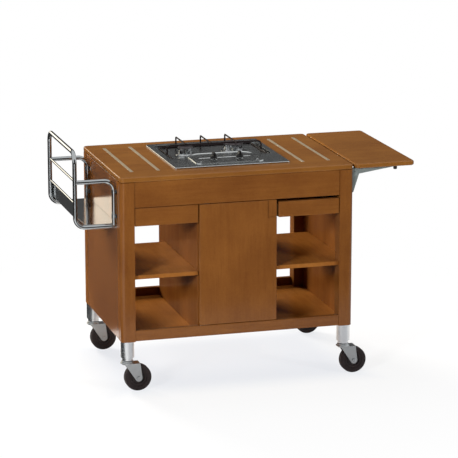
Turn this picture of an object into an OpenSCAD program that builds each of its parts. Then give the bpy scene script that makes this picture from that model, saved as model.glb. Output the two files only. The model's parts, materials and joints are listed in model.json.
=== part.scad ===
// Flambe cart: a wooden service cart with a two-burner gas hob set in its top,
// a drop flap on folding brackets, a bottle rack and four swivel casters.
// Millimetres. +X is to the right, +Y to the back, +Z up; the floor is z = 0.

/* [Worktop] */
// Length of the worktop without the flap
top_len = 885; // [820:1:980]
// Depth of the worktop, front to back
top_dep = 610; // [590:1:680]
// Height of the worktop's face above the floor
top_h = 805; // [790:1:860]
// Thickness of the worktop
top_t = 20; // [16:1:24]
// Rounding of the long edges of the worktop and the flap
edge_r = 6; // [3:0.5:7]
// Rounding of their corners, seen from above
plan_r = 16; // [14:1:22]
// Width of each inlaid metal strip
strip_w = 12; // [8:1:16]
// Thickness of each inlaid metal strip
strip_t = 3; // [2:0.5:4]
// How far a strip stands above the wood
strip_proud = 0.4; // [0.2:0.1:1]
// Distance of the inner strips from the middle
strip_in_x = 276; // [262:1:284]
// Distance of the outer strips from the middle
strip_out_x = 376; // [350:1:384]

/* [Cabinet] */
// Width of a corner post
post_w = 52; // [46:1:56]
// Rounding of a post's outer corner
post_r = 16; // [10:1:20]
// Height of the cabinet's underside above the floor
body_z = 190; // [176:1:205]
// Thickness of the side panels
side_t = 12; // [10:1:16]
// Height of the apron under the worktop
apron_h = 94; // [80:1:100]
// Thickness of the apron
apron_t = 18; // [14:1:20]
// How far the apron and the drawers lie behind the faces of the posts
apron_set = 3; // [1:0.5:5]
// Height of the bottom rails
rail_h = 40; // [34:1:48]
// Thickness of the bottom rails
rail_t = 20; // [16:1:24]
// Thickness of the bottom board
board_t = 8; // [6:1:12]
// Half the clear width of the middle bay
bay_half = 134; // [124:1:136]
// Thickness of the upright dividers
divider_t = 16; // [14:1:20]
// Height of the shelves' upper face
shelf_z = 436; // [380:1:480]
// Thickness of the shelves
shelf_t = 15; // [12:1:18]
// Distance of the shelves' back edge behind the middle of the cart
shelf_back = 190; // [120:1:230]

/* [Door and drawers] */
// Width of the door
door_w = 294; // [284:1:296]
// Thickness of the door
door_t = 18; // [16:1:20]
// Gap round the door
door_gap = 2; // [1.5:0.5:3]
// Depth of the finger pull in the door
pull_depth = 4; // [2:0.5:6]
// Width of the finger pull
pull_w = 35; // [25:1:45]
// Radius of the pivot pins above and below the door
hinge_pin_r = 3; // [2:0.1:3.5]
// How far a pivot pin reaches into the door
hinge_pin_len = 14; // [8:0.5:18]
// Height of a drawer front from its lower edge to the apron
drawer_h = 69; // [62:1:76]
// Finger gap above the right drawer's front
finger_gap = 11; // [8:1:14]
// Length of a drawer box
drawer_len = 420; // [360:1:440]
// Thickness of a drawer's walls
drawer_wall = 10; // [8:1:12]
// Width of a runner beside a drawer
runner_w = 10; // [8:1:12]
// Thickness of a runner's ledge
ledge_t = 6; // [5:1:8]

/* [Hob] */
// Length of the hob plate
hob_len = 440; // [432:1:448]
// Depth of the hob plate
hob_dep = 446; // [436:1:456]
// Place of the hob to the right of the middle
hob_x = 7; // [0:1:10]
// Place of the hob behind the middle
hob_y = 12; // [0:1:20]
// Height of the plate's rim above the wood
rim_h = 5; // [4:0.5:7]
// Depth of the rebate in the wood that the rim sits in
rebate = 1; // [0.5:0.1:1.5]
// Depth of the well below the rim
well_d = 9; // [7:0.5:11]
// Height of the control field above the rim
field_h = 3; // [2:0.5:4]
// Thickness of the pressed sheet
skin = 2; // [1.5:0.1:2.2]
// Radius of the left burner's foot
burner_l_r = 36; // [32:1:38]
// Radius of the right burner's foot
burner_r_r = 48; // [42:1:49]
// Height of the burners, cap included
burner_h = 34; // [28:1:36]
// Number of flame ports in a burner
ports = 24; // [16:1:32]
// Radius of the pan support's wire
wire_r = 3; // [2.5:0.1:3.2]
// Height of the pan support's upper wires above the well
pan_h = 41; // [39:1:46]
// Distance between the two knobs
knob_gap = 100; // [90:1:110]
// Radius of a knob
knob_r = 13.5; // [11:0.5:16]
// Height of a knob
knob_h = 21; // [18:1:26]
// How far a knob travels when it is pressed
knob_press = 3; // [2:0.5:4]
// Radius of a tap spindle
spindle_r = 3; // [2.5:0.1:4]

/* [Drop flap] */
// Length of the flap
flap_len = 232; // [215:1:240]
// Thickness of the flap
flap_t = 18; // [16:1:18]
// Gap between the flap and the worktop
flap_gap = 8; // [6:0.5:10]
// Length of a folding arm from the pivot
arm_len = 144; // [120:1:148]
// Thickness of the bracket's sheet
sheet = 2; // [1.5:0.1:2.5]
// Length of the wall bracket
wall_leg = 92; // [80:1:110]
// Radius of the pivot pins
pivot_r = 3; // [2.5:0.1:3.5]
// Radius of a rubber bumper
bumper_r = 7; // [5:0.5:8]
// Height of a rubber bumper
bumper_h = 15; // [12:0.5:15.3]

/* [Bottle rack] */
// Distance of the outer frame from the side panel, centre to face
rack_reach = 152; // [130:1:180]
// Distance of the rack's front end behind the front posts
rack_front_in = 21; // [21:1:43]
// Distance of the rack's back end before the back posts
rack_rear_in = 53; // [23:1:73]
// Height of the rack's lower tubes
rack_low = 614; // [590:1:640]
// Height of the outer frame's top bar
rack_top = 890; // [870:1:930]
// Height of the end loops
loop_z = 782; // [770:1:790]
// Radius of the tubes
tube_r = 8; // [7:0.5:9]
// Wall of the tubes
tube_wall = 1.5; // [1:0.1:2]
// Bend radius of the tubes
bend_r = 38; // [30:1:42]
// Radius of the cross rods
rod_r = 4.5; // [4:0.5:5]
// Height of the lower cross rod
rod_low_z = 704; // [694:1:720]
// How far the upper cross rod lies above the end loops
rod_up = 5; // [-10:1:18]
// Thickness of the tray's sheet
tray_t = 1.5; // [1:0.1:2]

/* [Casters] */
// Radius of the wheels
wheel_r = 50; // [46:1:52]
// Width of the tyres
tyre_w = 30; // [26:1:32]
// Radius where the tyre meets the wheel centre
rim_r = 30; // [26:1:34]
// Trail of the wheel behind its swivel axis
trail = 38; // [34:1:44]
// Clear width inside the fork
fork_gap = 37; // [36:1:40]
// Thickness of the fork's sheet
fork_t = 2.5; // [2:0.5:3]
// Radius of the axle bolt
axle_r = 4; // [3.5:0.5:5]
// Radius of the leg tubes
leg_r = 25; // [22:0.5:25]
// Wall of the leg tubes
leg_wall = 1.6; // [1.2:0.1:2]

/* [Hidden] */
$fn = 48;

// Clearances
seat = 0.3;
run = 0.05;
weld = 0.05;
ease = 2;
eps = 0.01;
far = 2000;

// Cabinet
half_l = top_len / 2;
half_d = top_dep / 2;
under_top = top_h - top_t;
apron_z = under_top - apron_h;
panel_set = 1;
panel_out = half_l - panel_set;
panel_in = panel_out - side_t;
post_in_x = half_l - post_w;
post_in_y = half_d - post_w;
post_foot_r = 3;
rail_z = body_z + 2;
rail_top = rail_z + rail_h;
rail_back = half_d - 1 - rail_t;
board_top = rail_z + board_t;
divider_out = bay_half + divider_t;
shelf_front = half_d - 15;

// Hob
seat_z = top_h - rebate;
rim_z = top_h + rim_h;
well_z = rim_z - well_d;
field_z = rim_z + field_h;
flange_in = 3;
cut_x = hob_len / 2 - 15;
cut_y = hob_dep / 2 - 16;
well_x = hob_len / 2 - 22;
well_back = hob_dep / 2 - 29;
well_front = -62;
field_mid = 4;
field_x = hob_len / 2 - 90;
field_back = 0;
field_front = hob_dep / 2 - 35;
field_r = 60;
field_front_r = 26;
box_wall = 1.5;
box_lip = 11;
flange_t = 1.2;
box_x = cut_x - 2;
box_y = cut_y - 2;
box_drop = 67;
box_z = top_h - box_drop;
divider_top = box_z - 4;
burner_y = 40;
burner_l_x = -111;
burner_r_x = 83;
burner_r_back = 23;
ring_left = 16 - well_x;
ring_right = well_x - 12;
ring_end_left = field_mid - field_x - 14;
ring_end_right = field_mid + field_x + 9;
ring_back = well_back - 14;
ring_front = well_front + 14;
ring_z = well_z + wire_r + 0.1;
ring_bend = 12;
bar_z = well_z + pan_h;
long_bend = 15;
short_bend = 6;
short_xs = [burner_l_x, (burner_l_x + burner_r_x) / 2, burner_r_x];
short_ends = [7, 12, 27];
neck_share = 0.55;
cap_t = 6;
cup_h = 28;
knob_x = 5;
knob_y = -119;
knob_z = field_z + knob_press + 1;
spindle_top = knob_z + knob_h - knob_press - 5;
flat_x = spindle_r * 0.6;
grip_w = 9;
tap_r = 11;
pipe_r = 4;
manifold_r = 8;
manifold_up = 14;
manifold_z = box_z + manifold_up;
feed_up = 15;
feed_z = manifold_z + feed_up;
tap_top = field_z - skin - 9;
inlet_x = 100;
inlet_r = 4.5;
inlet_len = 20;
inlet_z = apron_z - 15;
inlet_y = knob_y + 34;
nut_r = 8;
nut_len = 7;
elbow_r = 5;
elbow_bend = 14;

// Door and drawers
door_half = door_w / 2;
door_back = half_d - door_t;
door_z = rail_top + door_gap;
door_top = apron_z - door_gap;
pin_x = door_half - 8;
pin_y = half_d - door_t / 2;
pivot_plate_l = 36;
pivot_plate_w = 12;
catch_w = 14;
catch_d = 28;
catch_h = 24;
catch_plate_t = 0.6;
catch_x = bay_half - catch_w;
catch_z = drawer_z() + 14;
front_y = half_d - apron_set;
front_back = front_y - apron_t;
drawer_edge = half_l - post_w - 2;
box_out = post_in_x - 2;
box_in = divider_out + runner_w + 0.5;
box_floor = drawer_z() + ledge_t + seat;
box_wall_h = 44;
box_rear = drawer_len - front_back;

// Flap and brackets
flap_x = half_l + flap_gap;
flap_end = flap_x + flap_len;
flap_z = top_h - flap_t;
arm_y = half_d - post_w / 2;
pivot_in = 17.5;
pivot_x = half_l + pivot_in;
pivot_drop = 12;
pivot_z = flap_z - pivot_drop;
cheek_out = 8.5;
corner_in = 28;
corner_x = half_l + corner_in;
corner_drop = 22;
corner_z = flap_z - corner_drop;
cheek_gap = 0.5;
cheek_foot = 5;
cheek_top = 4;
under_gap = 2;
washer_w = 1.8;
washer_t = 1.2;
washer_gap = 0.5;
pin_end = 2.3;
arm_heel = 7;
arm_heel_z = 3;
arm_tip = 3;
web_from = 48;
web_start = pivot_x + web_from;
bumper_gap = 3;
bumper_x = pivot_x + arm_len + bumper_r + bumper_gap;

// Rack
rack_front = post_in_y - rack_front_in;
rack_rear = post_in_y - rack_rear_in;
rack_x = -panel_out - rack_reach;
rod_high_z = loop_z + rod_up;
loop_x = -panel_out - tube_r - seat;
tray_top = rod_low_z - rod_r;
tray_floor = rack_low + tube_r + 0.1;
tray_x = rack_x + tube_r + 0.1;
tray_bend = bend_r - tube_r - 0.1;
clip_zs = [rack_low + 30, loop_z - bend_r - 10];

// Casters
leg_x = half_l - post_w / 2;
leg_y = half_d - post_w / 2;
race_z = wheel_r * 2 + 6;
race_h = 12;
race_top = race_z + race_h;
plug_r = 20.5;
tube_z = race_top + 11;
stem_r = 5;
crown_t = 4;
swivel_gap = 0.3;
hub_half = fork_gap / 2 - 0.5;
cheek_end_r = 13;

// The origin is on the floor under the middle of the whole cart's outline
origin_x = -(flap_end + rack_x - tube_r) / 2;

function drawer_z() = top_h - top_t - apron_h - drawer_h;
function unit(v) = v / norm(v);

module place() translate([origin_x, 0, 0]) children();

module corner(sx, sy) mirror([sx < 0 ? 1 : 0, 0, 0]) mirror([0, sy < 0 ? 1 : 0, 0]) children();

// Rectangle with round corners, centred
module rrect(w, d, r) {
  square([w - 2 * r, d], center = true);
  square([w, d - 2 * r], center = true);
  for (sx = [-1, 1], sy = [-1, 1])
    translate([sx * (w / 2 - r), sy * (d / 2 - r)]) circle(r);
}

// Board between two corner points with its edges eased
module eased_box(lo, hi, r = ease) {
  size = hi - lo;
  translate((lo + hi) / 2)
    intersection() {
      linear_extrude(size.z, center = true) rrect(size.x, size.y, r);
      rotate([90, 0, 0]) linear_extrude(size.y, center = true) rrect(size.x, size.z, r);
      rotate([90, 0, 90]) linear_extrude(size.x, center = true) rrect(size.y, size.z, r);
    }
}

// Board with round corners in plan and fully rounded edges, on z = 0
module soft_board(w, d, t, rp, re) {
  translate([0, 0, t / 2]) {
    rotate([90, 0, 90]) linear_extrude(w - 2 * rp, center = true) rrect(d, t, re);
    rotate([90, 0, 0]) linear_extrude(d - 2 * rp, center = true) rrect(w, t, re);
  }
  for (sx = [-1, 1], sy = [-1, 1])
    translate([sx * (w / 2 - rp), sy * (d / 2 - rp), 0])
      rotate_extrude() {
        square([rp - re, t]);
        translate([0, re]) square([rp, t - 2 * re]);
        translate([rp - re, re]) circle(re);
        translate([rp - re, t - re]) circle(re);
      }
}

// Round bar between two points
module bar(a, b, r) {
  d = b - a;
  translate(a)
    rotate([0, acos(d.z / norm(d)), atan2(d.y, d.x)]) cylinder(h = norm(d), r = r);
}

// Bar bent round the points of a path, each bend with the radius given
module bent_bar(pts, r, bend) {
  last = len(pts) - 1;
  dirs = [for (i = [0:last - 1]) unit(pts[i + 1] - pts[i])];
  turns = [for (i = [1:last - 1]) acos(dirs[i - 1] * dirs[i])];
  cuts = [for (i = [0:last]) (i == 0 || i == last) ? 0 : bend * tan(turns[i - 1] / 2)];
  for (i = [0:last - 1]) bar(pts[i] + dirs[i] * cuts[i], pts[i + 1] - dirs[i] * cuts[i + 1], r);
  for (i = [1:last - 1]) {
    y_dir = dirs[i - 1];
    x_dir = -unit(dirs[i] - y_dir * (y_dir * dirs[i]));
    z_dir = cross(x_dir, y_dir);
    c = pts[i] - y_dir * cuts[i] - x_dir * bend;
    multmatrix([
      [x_dir.x, y_dir.x, z_dir.x, c.x],
      [x_dir.y, y_dir.y, z_dir.y, c.y],
      [x_dir.z, y_dir.z, z_dir.z, c.z],
      [0, 0, 0, 1]
    ]) rotate_extrude(angle = turns[i - 1]) translate([bend, 0]) circle(r);
  }
}

// Worktop
module hob_frame() translate([hob_x, hob_y, 0]) children();

module worktop() {
  place() color("#8f5c30")
    difference() {
      translate([0, 0, under_top]) soft_board(top_len, top_dep, top_t, plan_r, edge_r);
      hob_frame() translate([0, 0, under_top - 1])
        linear_extrude(top_t + 2) rrect(2 * cut_x, 2 * cut_y, 8);
      hob_frame() translate([0, 0, seat_z])
        linear_extrude(rebate + 1) rrect(hob_len + 2 * seat, hob_dep + 2 * seat, 10 + seat);
      for (x = [-strip_out_x, -strip_in_x, strip_in_x, strip_out_x])
        translate([x, hob_y, top_h - strip_t])
          linear_extrude(strip_t + 1) rrect(strip_w + 0.2, hob_dep + 0.2, 2.1);
    }
}

module worktop_strips() {
  place() color("#b9a88c")
    for (x = [-strip_out_x, -strip_in_x, strip_in_x, strip_out_x])
      translate([x, hob_y, top_h - strip_t])
        linear_extrude(strip_t + strip_proud) rrect(strip_w, hob_dep, 2);
}

// Cabinet
module post_plan() {
  square([post_w, post_w - post_r]);
  square([post_w - post_r, post_w]);
  translate([post_w - post_r, post_w - post_r]) circle(post_r);
}

module post(sx, sy) {
  h = under_top - body_z;
  place() color("#92602f")
    corner(sx, sy) translate([post_in_x, post_in_y, body_z])
      intersection() {
        linear_extrude(h) post_plan();
        translate([post_w / 2, post_w / 2, h / 2 + 10]) {
          rotate([90, 0, 0]) linear_extrude(post_w, center = true)
            rrect(post_w, h + 20, post_foot_r);
          rotate([90, 0, 90]) linear_extrude(post_w, center = true)
            rrect(post_w, h + 20, post_foot_r);
        }
      }
}

module side_panel(s) {
  place() color("#6f3b1e")
    translate([s > 0 ? panel_in : -panel_out, -post_in_y, body_z])
      cube([side_t, 2 * post_in_y, under_top - body_z]);
}

module apron(s) {
  place() color("#7c4a26")
    corner(1, s) translate([-post_in_x, front_back, apron_z])
      cube([2 * post_in_x, apron_t, apron_h]);
}

module bottom_rail(s) {
  place() color("#7c4a26")
    corner(1, s) translate([-post_in_x, rail_back, rail_z])
      cube([2 * post_in_x, rail_t, rail_h]);
}

module bottom_board() {
  place() color("#7a4523")
    difference() {
      translate([-panel_in, -rail_back, rail_z]) cube([2 * panel_in, 2 * rail_back, board_t]);
      for (sx = [-1, 1], sy = [-1, 1])
        corner(sx, sy) translate([post_in_x, post_in_y, rail_z - 1])
          cube([post_w, post_w, board_t + 2]);
    }
}

module divider(s) {
  x = s > 0 ? bay_half : -divider_out;
  place() color("#6f3b1e")
    difference() {
      translate([x, -front_back, board_top])
        cube([divider_t, 2 * front_back, divider_top - board_top]);
      for (sy = [-1, 1])
        corner(1, sy) translate([x - 1, rail_back, board_top - 1])
          cube([divider_t + 2, post_w, rail_top - board_top + 1]);
    }
}

module shelf(s) {
  place() color("#8a5429")
    corner(s, 1)
      difference() {
        translate([divider_out, -shelf_front, shelf_z - shelf_t])
          cube([panel_in - divider_out, shelf_front + shelf_back, shelf_t]);
        translate([post_in_x, -half_d, shelf_z - shelf_t - 1])
          cube([post_w, post_w, shelf_t + 2]);
        translate([post_in_x, post_in_y, shelf_z - shelf_t - 1])
          cube([post_w, post_w, shelf_t + 2]);
      }
}

// Door
module door() {
  place() color("#7f4b27")
    difference() {
      eased_box([-door_half, -half_d, door_z], [door_half, -door_back, door_top]);
      translate([door_half - pull_w, -half_d - 1, drawer_z() + 2])
        cube([pull_w + 1, pull_depth + 1, far]);
      for (z = [door_z - 1, door_top - hinge_pin_len])
        translate([-pin_x, -pin_y, z])
          cylinder(h = hinge_pin_len + 1, r = hinge_pin_r + run);
    }
}

// Pins that the door turns on, each on a small plate
module door_pivots() {
  plate = door_gap - 0.4;
  place() color("#8f9396")
    for (z = [rail_top, apron_z])
      translate([-pin_x, -pin_y, z]) mirror([0, 0, z > rail_top ? 1 : 0]) {
        cylinder(h = door_gap + hinge_pin_len, r = hinge_pin_r);
        translate([-pivot_plate_w / 2, -pivot_plate_w / 2, 0])
          cube([pivot_plate_l, pivot_plate_w, plate]);
      }
}

module catch_plate() {
  place() color("#8f9396")
    translate([catch_x, -door_back, catch_z]) cube([catch_w, catch_plate_t, catch_h]);
}

module door_catch() {
  place() color("#3a3a3c")
    translate([catch_x, -door_back + catch_plate_t + seat, catch_z])
      cube([catch_w, catch_d, catch_h]);
}

// Drawers
module drawer_front(s, inner, gap) {
  place() color("#7f4b27")
    corner(s, 1)
      eased_box([inner, -front_y, drawer_z()], [drawer_edge, -front_back, apron_z - gap]);
}

module drawer_box(s) {
  place() color("#b98a55")
    corner(s, 1)
      difference() {
        translate([box_in, -front_back, box_floor])
          cube([box_out - box_in, drawer_len, box_wall_h]);
        translate([box_in + drawer_wall, drawer_wall - front_back, box_floor + 5])
          cube([box_out - box_in - 2 * drawer_wall, drawer_len - 2 * drawer_wall, box_wall_h]);
      }
}

// Ledge under a drawer's edge with an upstand that stops the box at the back
module ledge(x0, x1, y0) {
  translate([x0, -y0, drawer_z()])
    cube([x1 - x0, y0 + box_rear + 10, ledge_t]);
  translate([x0, box_rear + seat, drawer_z()])
    cube([x1 - x0, 10 - seat, ledge_t + 20]);
}

module drawer_runners() {
  h = ledge_t + box_wall_h - 2;
  place() color("#a9794a")
    for (s = [-1, 1])
      corner(s, 1) {
        translate([divider_out, -front_back + seat, drawer_z()])
          cube([runner_w, front_back - seat + box_rear + 10, h]);
        ledge(divider_out + runner_w - eps, divider_out + runner_w + 12, front_back - seat);
        translate([box_out + 0.5, -post_in_y, drawer_z()])
          cube([panel_in - box_out - 0.5, 2 * post_in_y, h]);
        ledge(box_out - 11.5, box_out + 0.5 + eps, post_in_y);
      }
}

// Hob
module well_plan(grow = 0) {
  w = 2 * (well_x + grow);
  d = well_back - well_front + 2 * grow;
  translate([0, (well_back + well_front) / 2]) rrect(w, d, 12 + grow);
}

// Wide corners at the back and narrow ones in front
module field_plan(grow = 0) {
  back_y = field_back - field_r;
  front_y = field_front_r - field_front;
  back_x = field_x - field_r;
  front_x = field_x - field_front_r;
  translate([field_mid, 0]) {
    translate([-field_x - grow, front_y]) square([2 * (field_x + grow), back_y - front_y]);
    translate([-back_x, front_y]) square([2 * back_x, field_back + grow - front_y]);
    translate([-front_x, -field_front - grow]) square([2 * front_x, field_front_r + grow]);
    for (s = [-1, 1]) {
      translate([s * back_x, back_y]) circle(field_r + grow);
      translate([s * front_x, front_y]) circle(field_front_r + grow);
    }
  }
}

module pressed_rim() {
  intersection() {
    translate([0, 0, seat_z - 4]) soft_board(hob_len, hob_dep, rim_h + rebate + 4, 10, 2);
    translate([0, 0, seat_z + far / 2]) cube(far, center = true);
  }
}

// Pressed sheet: a rim on the wood, a sunken well and a raised control field
module hob_plate() {
  place() color("#9a9fa3") hob_frame()
    difference() {
      union() {
        pressed_rim();
        translate([0, 0, well_z - skin]) linear_extrude(rim_z - well_z) well_plan();
        translate([0, 0, seat_z]) linear_extrude(field_z - seat_z) field_plan();
      }
      translate([0, 0, seat_z - 1]) linear_extrude(rim_z - skin - seat_z + 1)
        difference() {
          rrect(hob_len - 2 * flange_in, hob_dep - 2 * flange_in, 7);
          well_plan();
        }
      translate([0, 0, well_z]) linear_extrude(far)
        difference() {
          well_plan(-skin);
          field_plan();
        }
      translate([0, 0, well_z - skin - 1])
        linear_extrude(field_z - well_z + 1) field_plan(-skin);
      translate([burner_l_x, burner_y, 0]) cylinder(h = far, r = neck_r(burner_l_r) + 0.5);
      translate([burner_r_x, burner_y + burner_r_back, 0])
        cylinder(h = far, r = neck_r(burner_r_r) + 0.5);
      for (s = [-1, 1])
        translate([knob_x + s * knob_gap / 2, knob_y, 0]) cylinder(h = far, r = spindle_r + 2);
    }
}

module hob_underbox() {
  place() color("#8c9094") hob_frame()
    difference() {
      union() {
        translate([0, 0, box_z]) linear_extrude(seat_z - box_z + 1) rrect(2 * box_x, 2 * box_y, 6);
        translate([0, 0, seat_z])
          linear_extrude(flange_t) rrect(2 * (box_x + box_lip), 2 * (box_y + box_lip), 6);
      }
      translate([0, 0, box_z + box_wall])
        linear_extrude(far) rrect(2 * (box_x - box_wall), 2 * (box_y - box_wall), 5);
      translate([inlet_x, knob_y, box_z - 1]) cylinder(h = 10, r = nut_r + seat);
    }
}

// Wire frame that carries the pans: a low ring, one long bar and three short ones welded on it
module pan_ring(r) {
  bent_bar([
    [ring_end_left, ring_front, ring_z], [ring_left, ring_front, ring_z],
    [ring_left, ring_back, ring_z], [ring_right, ring_back, ring_z],
    [ring_right, ring_front, ring_z], [ring_end_right, ring_front, ring_z]
  ], r, ring_bend);
}

module pan_long_bar(r) {
  z = bar_z - wire_r;
  bent_bar([
    [ring_left, burner_y, ring_z], [ring_left, burner_y, z],
    [ring_right, burner_y, z], [ring_right, burner_y, ring_z]
  ], r, long_bend);
}

module pan_short_bars(r) {
  for (i = [0:2])
    bent_bar([
      [short_xs[i], ring_back, ring_z], [short_xs[i], ring_back, bar_z],
      [short_xs[i], burner_y - short_ends[i], bar_z]
    ], r, short_bend);
}

module pan_support() {
  place() color("#1d1c1e") hob_frame() {
    pan_ring(wire_r);
    difference() {
      pan_short_bars(wire_r);
      pan_ring(wire_r + weld);
    }
    difference() {
      pan_long_bar(wire_r);
      pan_ring(wire_r + weld);
      pan_short_bars(wire_r + weld);
    }
  }
}

function neck_r(foot) = foot * neck_share;

// Burner body: foot on the well, ported crown above, mixing cup below
module burner(x, y, foot) {
  neck = neck_r(foot);
  crown = foot * 0.78;
  top = burner_h - cap_t;
  place() color("#c4c7ca") hob_frame()
    translate([x, y, well_z])
      difference() {
        rotate_extrude()
          polygon([
            [0, -cup_h], [neck - 4, -cup_h], [neck - 4, -skin - 1], [neck, -skin - 1], [neck, 0],
            [foot, 0], [foot, 2.5], [crown + 1, 6], [crown - 3, 10], [crown - 3, top - 8],
            [crown, top - 6], [crown, top], [0, top]
          ]);
        translate([0, 0, -cup_h - 1]) cylinder(h = 14, r = neck - 6);
        translate([0, 0, -16]) cylinder(h = top + 20, r = neck - 9);
        translate([0, 0, top - 12]) cylinder(h = 20, r = crown - 5);
        for (i = [0:ports - 1])
          rotate([0, 0, (i + 0.5) * 360 / ports])
            translate([crown - 7, -1, top - 5]) cube([10, 2, 10]);
      }
}

module burner_cap(x, y, foot) {
  crown = foot * 0.78;
  translate([x, y, well_z + burner_h - cap_t])
    rotate_extrude()
      polygon([
        [0, -3], [crown - 5.3, -3], [crown - 5.3, 0], [crown + 1, 0], [crown + 1, 2],
        [crown - 1.5, cap_t - 1], [crown - 7, cap_t], [0, cap_t]
      ]);
}

module burner_caps() {
  place() color("#2b2528") hob_frame() {
    burner_cap(burner_l_x, burner_y, burner_l_r);
    burner_cap(burner_r_x, burner_y + burner_r_back, burner_r_r);
  }
}

// Manifold, two taps, their feed pipes and the inlet elbow that ends in a hose tail
module gas_taps() {
  xs = [knob_x - knob_gap / 2, knob_x + knob_gap / 2];
  place() color("#a8823c") hob_frame()
    difference() {
      union() {
        bar([xs[0] - 24, knob_y, manifold_z], [inlet_x + 1, knob_y, manifold_z], manifold_r);
        for (x = xs) translate([x, knob_y, manifold_z]) cylinder(h = tap_top - manifold_z, r = tap_r);
        translate([inlet_x, knob_y, box_z - nut_len]) cylinder(h = nut_len + 4, r = nut_r);
        bent_bar([
          [inlet_x, knob_y, box_z], [inlet_x, knob_y, inlet_z], [inlet_x, inlet_y, inlet_z]
        ], elbow_r, elbow_bend);
        bar([inlet_x, inlet_y - nut_len, inlet_z], [inlet_x, inlet_y, inlet_z], nut_r);
        bar([inlet_x, inlet_y - 1, inlet_z], [inlet_x, inlet_y + inlet_len, inlet_z], inlet_r);
        translate([inlet_x, knob_y, box_z + box_wall])
          cylinder(h = manifold_z - box_z + manifold_r, r = tap_r);
        feed_pipe(xs[0], burner_l_x, burner_y);
        feed_pipe(xs[1], burner_r_x, burner_y + burner_r_back);
      }
      for (x = xs) translate([x, knob_y, manifold_z]) cylinder(h = far, r = spindle_r + run);
    }
}

// Pipe from a tap to the jet inside a burner's mixing cup
module feed_pipe(x, bx, by) {
  jet_z = well_z - cup_h + 6;
  bent_bar([[x, knob_y, feed_z], [x, by, feed_z], [bx, by, feed_z], [bx, by, jet_z]], pipe_r, 8);
}

module tap_spindle(s) {
  place() color("#c9a75a") hob_frame()
    translate([knob_x + s * knob_gap / 2, knob_y, manifold_z + 0.5])
      difference() {
        cylinder(h = spindle_top - manifold_z - 0.5, r = spindle_r);
        translate([flat_x, -10, knob_z - manifold_z - knob_press - 1]) cube([20, 20, far]);
      }
}

// Knob with a round skirt and a grip bar, bored for the flattened spindle
module knob(s) {
  bore_h = spindle_top - knob_z + knob_press + 0.5;
  place() color("#1b1a1c") hob_frame()
    translate([knob_x + s * knob_gap / 2, knob_y, knob_z])
      difference() {
        union() {
          rotate_extrude()
            polygon([
              [0, 0], [knob_r, 0], [knob_r, 3], [knob_r - 2, 7], [knob_r - 4, 10], [0, 10]
            ]);
          intersection() {
            rotate([90, 0, 90]) linear_extrude(grip_w, center = true)
              translate([0, knob_h / 2]) rrect(2 * knob_r - 4, knob_h, 5);
            cylinder(h = knob_h, r = knob_r);
            translate([0, 0, knob_h / 2]) rotate([90, 0, 0])
              linear_extrude(far, center = true) rrect(grip_w, knob_h, 2);
          }
        }
        difference() {
          translate([0, 0, -1]) cylinder(h = bore_h + 1, r = spindle_r + run);
          translate([flat_x + run, -10, -2]) cube([20, 20, far]);
        }
      }
}

// Drop flap and its folding brackets
module flap() {
  place() color("#8f5c30")
    translate([flap_x + flap_len / 2, 0, flap_z])
      soft_board(flap_len, top_dep, flap_t, plan_r, edge_r);
}

module sheet_profile(pts, y, t) {
  translate([0, y + t, 0]) rotate([90, 0, 0]) linear_extrude(t) polygon(pts);
}

module wall_bracket() {
  foot = flap_z - wall_leg;
  cheek = [
    [half_l, foot], [half_l + cheek_foot, foot], [corner_x - cheek_gap, corner_z],
    [corner_x - cheek_gap, pivot_z - cheek_top], [pivot_x + cheek_foot, flap_z - under_gap],
    [half_l, flap_z - under_gap]
  ];
  translate([half_l, -cheek_out, foot]) cube([sheet, 2 * cheek_out, wall_leg - under_gap]);
  sheet_profile(cheek, -cheek_out, sheet);
  sheet_profile(cheek, cheek_out - sheet, sheet);
  translate([pivot_x, cheek_out + sheet + pin_end, pivot_z]) rotate([90, 0, 0])
    cylinder(h = 2 * (cheek_out + sheet + pin_end), r = pivot_r);
  for (s = [-1, 1])
    translate([pivot_x, s * (cheek_out + sheet + washer_gap + washer_t / 2), pivot_z])
      rotate([90, 0, 0]) cylinder(h = washer_t, r = pivot_r + washer_w, center = true);
}

module flap_wall_brackets() {
  place() color("#7d8582")
    for (s = [-1, 1]) translate([0, s * arm_y, 0]) wall_bracket();
}

module arm() {
  tip = pivot_x + arm_len;
  y = cheek_out + seat;
  profile = [
    [pivot_x - arm_heel, pivot_z - arm_heel_z], [pivot_x - arm_heel_z, corner_z],
    [corner_x, corner_z], [tip, flap_z - arm_tip], [tip, flap_z], [pivot_x - arm_heel, flap_z]
  ];
  difference() {
    union() {
      for (yc = [-y - sheet, y]) sheet_profile(profile, yc, sheet);
      translate([web_start, -y - sheet, flap_z - sheet])
        cube([tip - web_start, 2 * (y + sheet), sheet]);
    }
    translate([pivot_x, 50, pivot_z]) rotate([90, 0, 0]) cylinder(h = 100, r = pivot_r + run);
  }
}

module flap_arm(s) {
  place() color("#7d8582") translate([0, s * arm_y, 0]) arm();
}

module flap_bumpers() {
  place() color("#1c1a1a")
    for (s = [-1, 1])
      translate([bumper_x, s * arm_y, flap_z - bumper_h])
        rotate_extrude()
          polygon([
            [0, 0], [bumper_r - 2, 0], [bumper_r - 0.6, 0.8], [bumper_r, 2.4],
            [bumper_r, bumper_h], [0, bumper_h]
          ]);
}

// Bottle rack
module frame_path(r) {
  bent_bar([
    [-panel_out - seat, -rack_front, rack_low], [rack_x, -rack_front, rack_low],
    [rack_x, -rack_front, rack_top], [rack_x, rack_rear, rack_top],
    [rack_x, rack_rear, rack_low], [-panel_out - seat, rack_rear, rack_low]
  ], r, bend_r);
}

module rack_frame() {
  place() color("#c9ccd0") frame_path(tube_r);
}

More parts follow.
